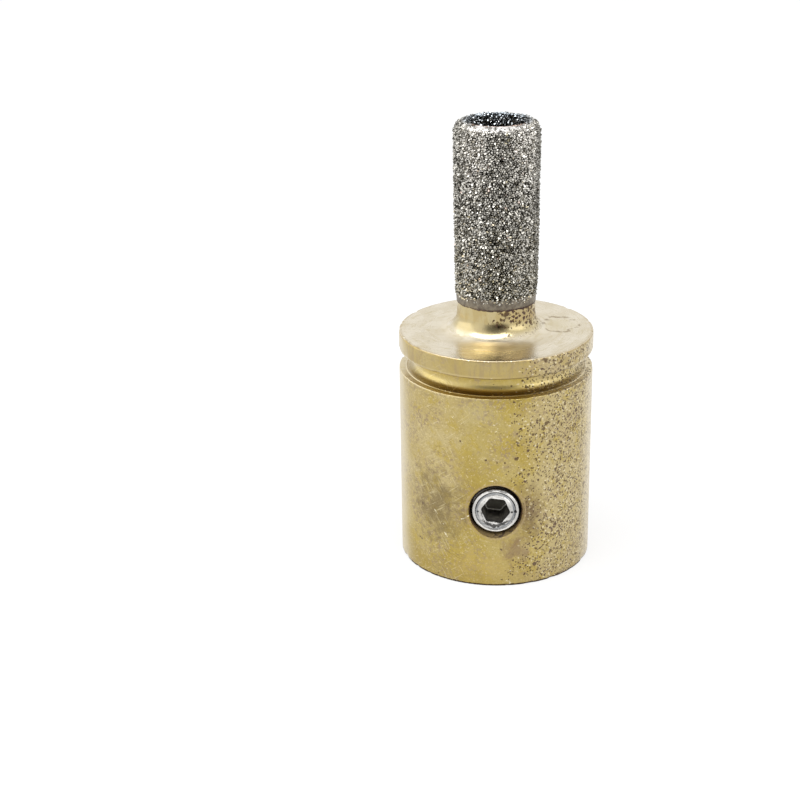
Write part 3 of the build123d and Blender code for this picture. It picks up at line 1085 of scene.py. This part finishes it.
def grit_painted_light(nodes, x, z, crown, base):
    """Painted light on the grit: brighter towards the tip and beside the middle, and painted shade along
    the right edge.
    """
    from_middle = nodes.math("ABSOLUTE", nodes.math("SUBTRACT", x, 0.2))
    beside = nodes.span(from_middle, 0.5, 1.8, 2.6, 3.3)
    tip = nodes.times(nodes.fade(z, COAT_TOP - 8.0, COAT_TOP - 1.5), nodes.between(beside, 0.12, 0.88))
    # Painted highlight on the grains' crowns towards the tip and to both sides of the middle.
    bright = nodes.times(nodes.most(tip, nodes.times(beside, 0.26)), nodes.between(crown, 0.35, 1.0))
    base = nodes.tint(base, bright, (228, 224, 216))
    # Painted shade along the right edge.
    return nodes.tint(base, nodes.fade(x, 2.8, 3.3), (104, 102, 95), 0.6)


def lip_colour(nodes, place, axes, grains, base):
    """The lip: painted shade and glints inside, a painted bluish reflection at the back, and worn, with a
    painted highlight and bare metal, in front.
    """
    x, y, z = axes
    grain, crown, sides = grains
    reach = nodes.length(x, y)
    # Painted shade inside the bore: dark grain sides, and crowns from dark to painted glints.
    inner = nodes.times(nodes.fade(reach, 2.95, 2.60), nodes.fade(z, TUBE_TOP - 3.0, TUBE_TOP - 2.0))
    glitter = nodes.mix(grain, colour(56, 62, 68), colour(240, 247, 252))
    bore_shade_and_glints = nodes.mix(crown, colour(30, 32, 36), glitter)
    base = nodes.mix(nodes.times(inner, nodes.between(sides, 0.85, 0.70)), base, bore_shade_and_glints)
    # Painted reflection: pale bluish crowns on the back of the lip's crest.
    back = nodes.times(nodes.fade(z, COAT_TOP - 0.5, COAT_TOP - 0.15), nodes.fade(y, 0.5, 2.0), crown)
    base = nodes.tint(base, back, (222, 234, 244), 0.6)
    # Worn nickel with a painted highlight: near white on the front of the lip's crest, where the overhead
    # lamp shows.
    front = nodes.plus(nodes.fade(y, -1.7, -2.5), nodes.times(nodes.noise(place, 0.6), 0.4))
    worn = nodes.times(nodes.fade(z, COAT_TOP - 0.60, COAT_TOP - 0.22), nodes.fade(front, 0.5, 1.0),
                       nodes.clouds(place, 0.30, 0.43, 0.50))
    base = nodes.tint(base, worn, (250, 247, 244), 0.90)
    bare = nodes.times(nodes.fade(reach, 2.74, 2.62), nodes.fade(z, COAT_TOP - 0.30, COAT_TOP - 0.2),
                       nodes.fade(y, -1.2, -2.0))
    return nodes.tint(base, bare, (190, 152, 124), 0.5)


# Clamp screw

def make_screw():
    """The screw with its turned face, hex socket, thread and cup point."""
    angles = np.linspace(0, 2 * pi, SCREW_SEGMENTS, endpoint=False)
    sixth = pi / 3
    hexagon = SOCKET_FLATS / 2 * np.minimum(1 / np.cos((angles % sixth) - sixth / 2), SOCKET_CORNER)
    socket = [(depth, hexagon * share) for depth, share in SOCKET_PROFILE]
    outside = list(FACE_PROFILE)
    outside += [(depth, SCREW_RADIUS - 0.02) for depth in thread_depths(THREAD_START, THREAD_END)]
    outside += [(SCREW_LENGTH - back, radius) for back, radius in POINT_PROFILE]
    depths = [depth for depth, _ in socket + outside]
    radii = np.array([radius + 0 * angles for _, radius in socket + outside])
    rings = screw_rings(depths, radii, -HUB_RADIUS + SCREW_RECESS)
    ends = (THREAD_START, THREAD_END + 0.01)
    add_thread(rings[len(socket):], depths[len(socket):], ends, THREAD_ROOT_RADIUS, SCREW_RADIUS)
    roughen_face(rings)
    screw = capped_piece("screw", rings, radians(24))
    screw.data.materials.append(steel_material())
    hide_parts("set_screw")
    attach(screw, "screw")


def roughen_face(rings):
    """Knocks on the screw's face, and a burr at the lower edge of the socket's mouth."""
    face = -HUB_RADIUS + SCREW_RECESS
    near = (rings[..., 1] < face + 0.2) & (rings[..., 1] > face - 0.1)
    for index in zip(*np.nonzero(near)):
        point = Vector(rings[index])
        arm = Vector((point.x, 0, point.z - SCREW_HEIGHT))
        dent = max(0.0, noise.noise(point * 2.2) - 0.2) * 0.10
        burr_gap = (Vector((arm.x, arm.z)) - Vector(BURR_PLACE)).length
        burr = max(0.0, 1 - burr_gap / BURR_REACH) * (0.5 + noise.noise(point * 9.0)) * BURR_HEIGHT
        rings[index] = point + Vector((0, dent - burr, 0)) - arm * burr


def steel_material():
    """Turned steel: bright at the rim and round the socket, duller between, painted greyer to the sides,
    painted dark in the gap and dark inside.
    """
    material, nodes, place, x, y, z = begin_material("steel")
    up = nodes.math("SUBTRACT", z, SCREW_HEIGHT)
    radius = nodes.length(x, up)
    depth = nodes.plus(y, HUB_RADIUS - SCREW_RECESS)
    cloud = nodes.noise(place, 0.3, 4.0, 0.65)
    base = face_colour(nodes, place, up, radius, cloud)
    inside = nodes.times(nodes.fade(radius, 1.24, 1.20), nodes.fade(depth, 0.03, 0.07))
    base = nodes.mix(inside, base, socket_colour(nodes, place, depth))
    # Painted shade: dark where the screw's edge runs down into the gap with the hole.
    gap = nodes.times(nodes.fade(depth, 0.10, 0.2), nodes.fade(radius, 1.5, 1.7))
    base = nodes.tint(base, gap, (70, 64, 56), 0.8)
    ring_place = nodes.add("ShaderNodeCombineXYZ", {0: nodes.times(radius, 14.0), 1: depth})
    normal = nodes.bump(nodes.noise(ring_place, 1.0), 0.003)
    normal = nodes.bump(nodes.noise(place, 0.2), 0.005, normal)
    roughness = nodes.between(inside, nodes.between(cloud, 0.18, 0.36), 0.9)
    nodes.metal(base, roughness, normal, inside)
    return material


def face_colour(nodes, place, up, radius, cloud):
    """The screw's face: a dull band with a dark line above it, between a bright rim and a bright mouth,
    painted greyer to the sides and shadowed below the burr.
    """
    base = nodes.mix(nodes.fade(cloud, 0.30, 0.70), colour(216, 214, 210), colour(246, 244, 240))
    # Painted shade: the face greyer to the left and right, brighter above and below where the rim takes the
    # light.
    level = nodes.fade(nodes.math("ABSOLUTE", nodes.math("DIVIDE", up, radius)), 0.80, 0.35)
    base = nodes.tint(base, level, (160, 158, 154), 0.55)
    smear_place = nodes.add("ShaderNodeCombineXYZ", {0: nodes.times(radius, 7.0), 1: up})
    smear = nodes.clouds(nodes.vector("ADD", smear_place, place), 0.9, 0.35, 0.62)
    band = nodes.span(radius, 1.38, 1.45, 1.60, 1.66)
    base = nodes.tint(base, nodes.times(band, nodes.between(smear, 0.35, 0.9)), (112, 116, 122))
    line = nodes.times(nodes.near(radius, 1.615, 0.05), nodes.fade(up, -0.3, 0.7))
    base = nodes.tint(base, line, (44, 42, 42))
    knocks = [nodes.spots(place, 0.55, 0.10, 0.35)]
    for across, height, size in FACE_KNOCKS:
        centre = (across, -HUB_RADIUS, SCREW_HEIGHT + height)
        knocks.append(nodes.fade(nodes.blob(place, centre, (size, 1.0, size), 0.1), 0.1, 0.4))
    # Painted shadow: a dark, wavy arc below the burr at the socket's lower edge.
    wavy = nodes.plus(radius, nodes.times(nodes.noise(place, 0.22), 0.40))
    knocks.append(nodes.times(nodes.near(wavy, 1.50, 0.15), nodes.fade(up, -0.70, -0.95)))
    return nodes.tint(base, nodes.most(*knocks), (40, 39, 40), 0.9)


def socket_colour(nodes, place, depth):
    """The socket's dark walls, painted darker near the mouth, with a painted greyer end and a painted
    highlight where it meets the walls.
    """
    walls = nodes.mix(nodes.clouds(place, 0.5, 0.35, 0.65), colour(74, 70, 62), colour(98, 94, 84))
    # Painted shade: the walls darker towards the mouth, where light reaches them.
    walls = nodes.tint(walls, nodes.fade(depth, 0.9, 0.1), (34, 31, 27))
    # Painted light: the socket's end lighter than the walls, as if lit through the mouth.
    end = nodes.fade(depth, SOCKET_DEPTH - 0.02, SOCKET_DEPTH - 0.01)
    walls = nodes.tint(walls, end, (128, 124, 112))
    # Painted highlight along the edge of the socket's end.
    line = nodes.times(nodes.near(depth, SOCKET_DEPTH - 0.05, 0.10), nodes.rest(end))
    return nodes.tint(walls, line, (255, 252, 240))


make_camera()
make_floor()
make_world()
for lamp in LAMPS:
    make_lamp(*lamp)
make_brass()
make_skirt()
make_grit()
make_screw()
